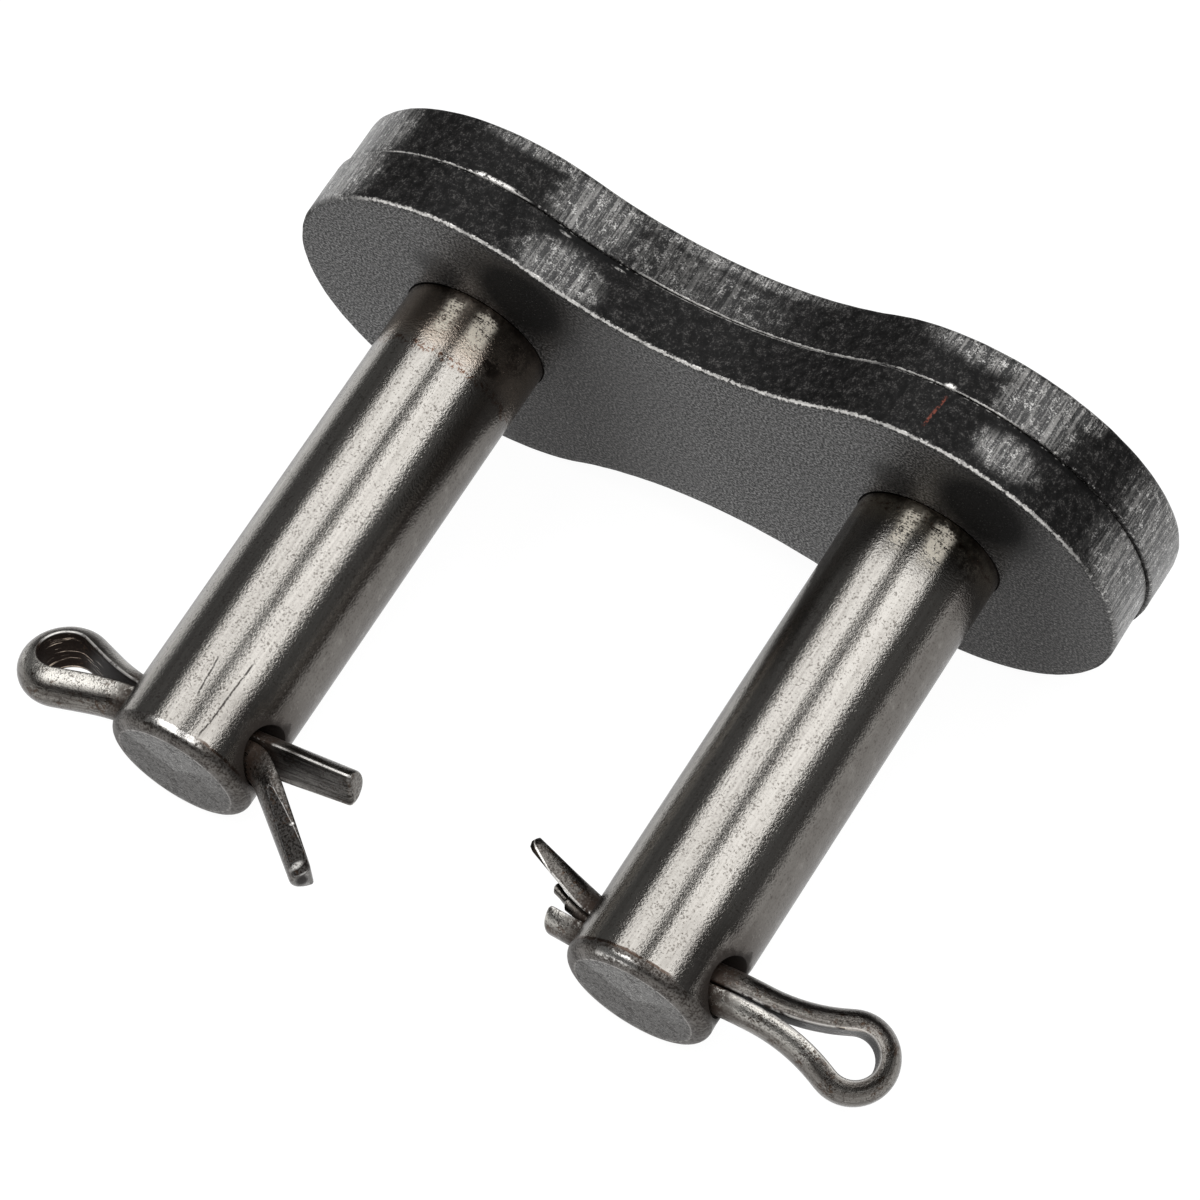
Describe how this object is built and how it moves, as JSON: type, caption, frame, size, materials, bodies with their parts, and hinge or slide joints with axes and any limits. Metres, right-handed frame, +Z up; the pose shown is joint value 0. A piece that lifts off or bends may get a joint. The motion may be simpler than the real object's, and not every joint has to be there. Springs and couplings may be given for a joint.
{
  "type": "chain connecting link",
  "caption": "Connecting link for a heavy roller chain: stacked figure-8 side plates with round pins, each pin's tip holding a bent split cotter.",
  "frame": {"origin": "centre of the bounding box's underside, on the surface that the link lies on", "axes": "+X along the plates from the left pin to the right pin, +Z up from the table; the pins point towards -Y and lean down by the angle at which the cover plate's rim and both pin tips touch the table"},
  "size_m": [0.0606, 0.0458, 0.0261],
  "materials": {
    "plate_steel": "matte black oxide",
    "pin_steel": "ground, lightly stained",
    "cotter_steel": "bright wire, dulled and dirty"
  },
  "bodies": {
    "pinned_plate": {"fixed_plate": "plate_steel", "pin_left": "pin_steel", "pin_right": "pin_steel", "cotter_left": "cotter_steel", "cotter_right": "cotter_steel"},
    "cover": {"cover_plate": "plate_steel"}
  },
  "joints": [
    {"name": "cover_slide", "type": "slide", "parent": "pinned_plate", "child": "cover", "axis": [0, -0.9731, -0.2305], "range_m": [0, 0.0267]}
  ]
}
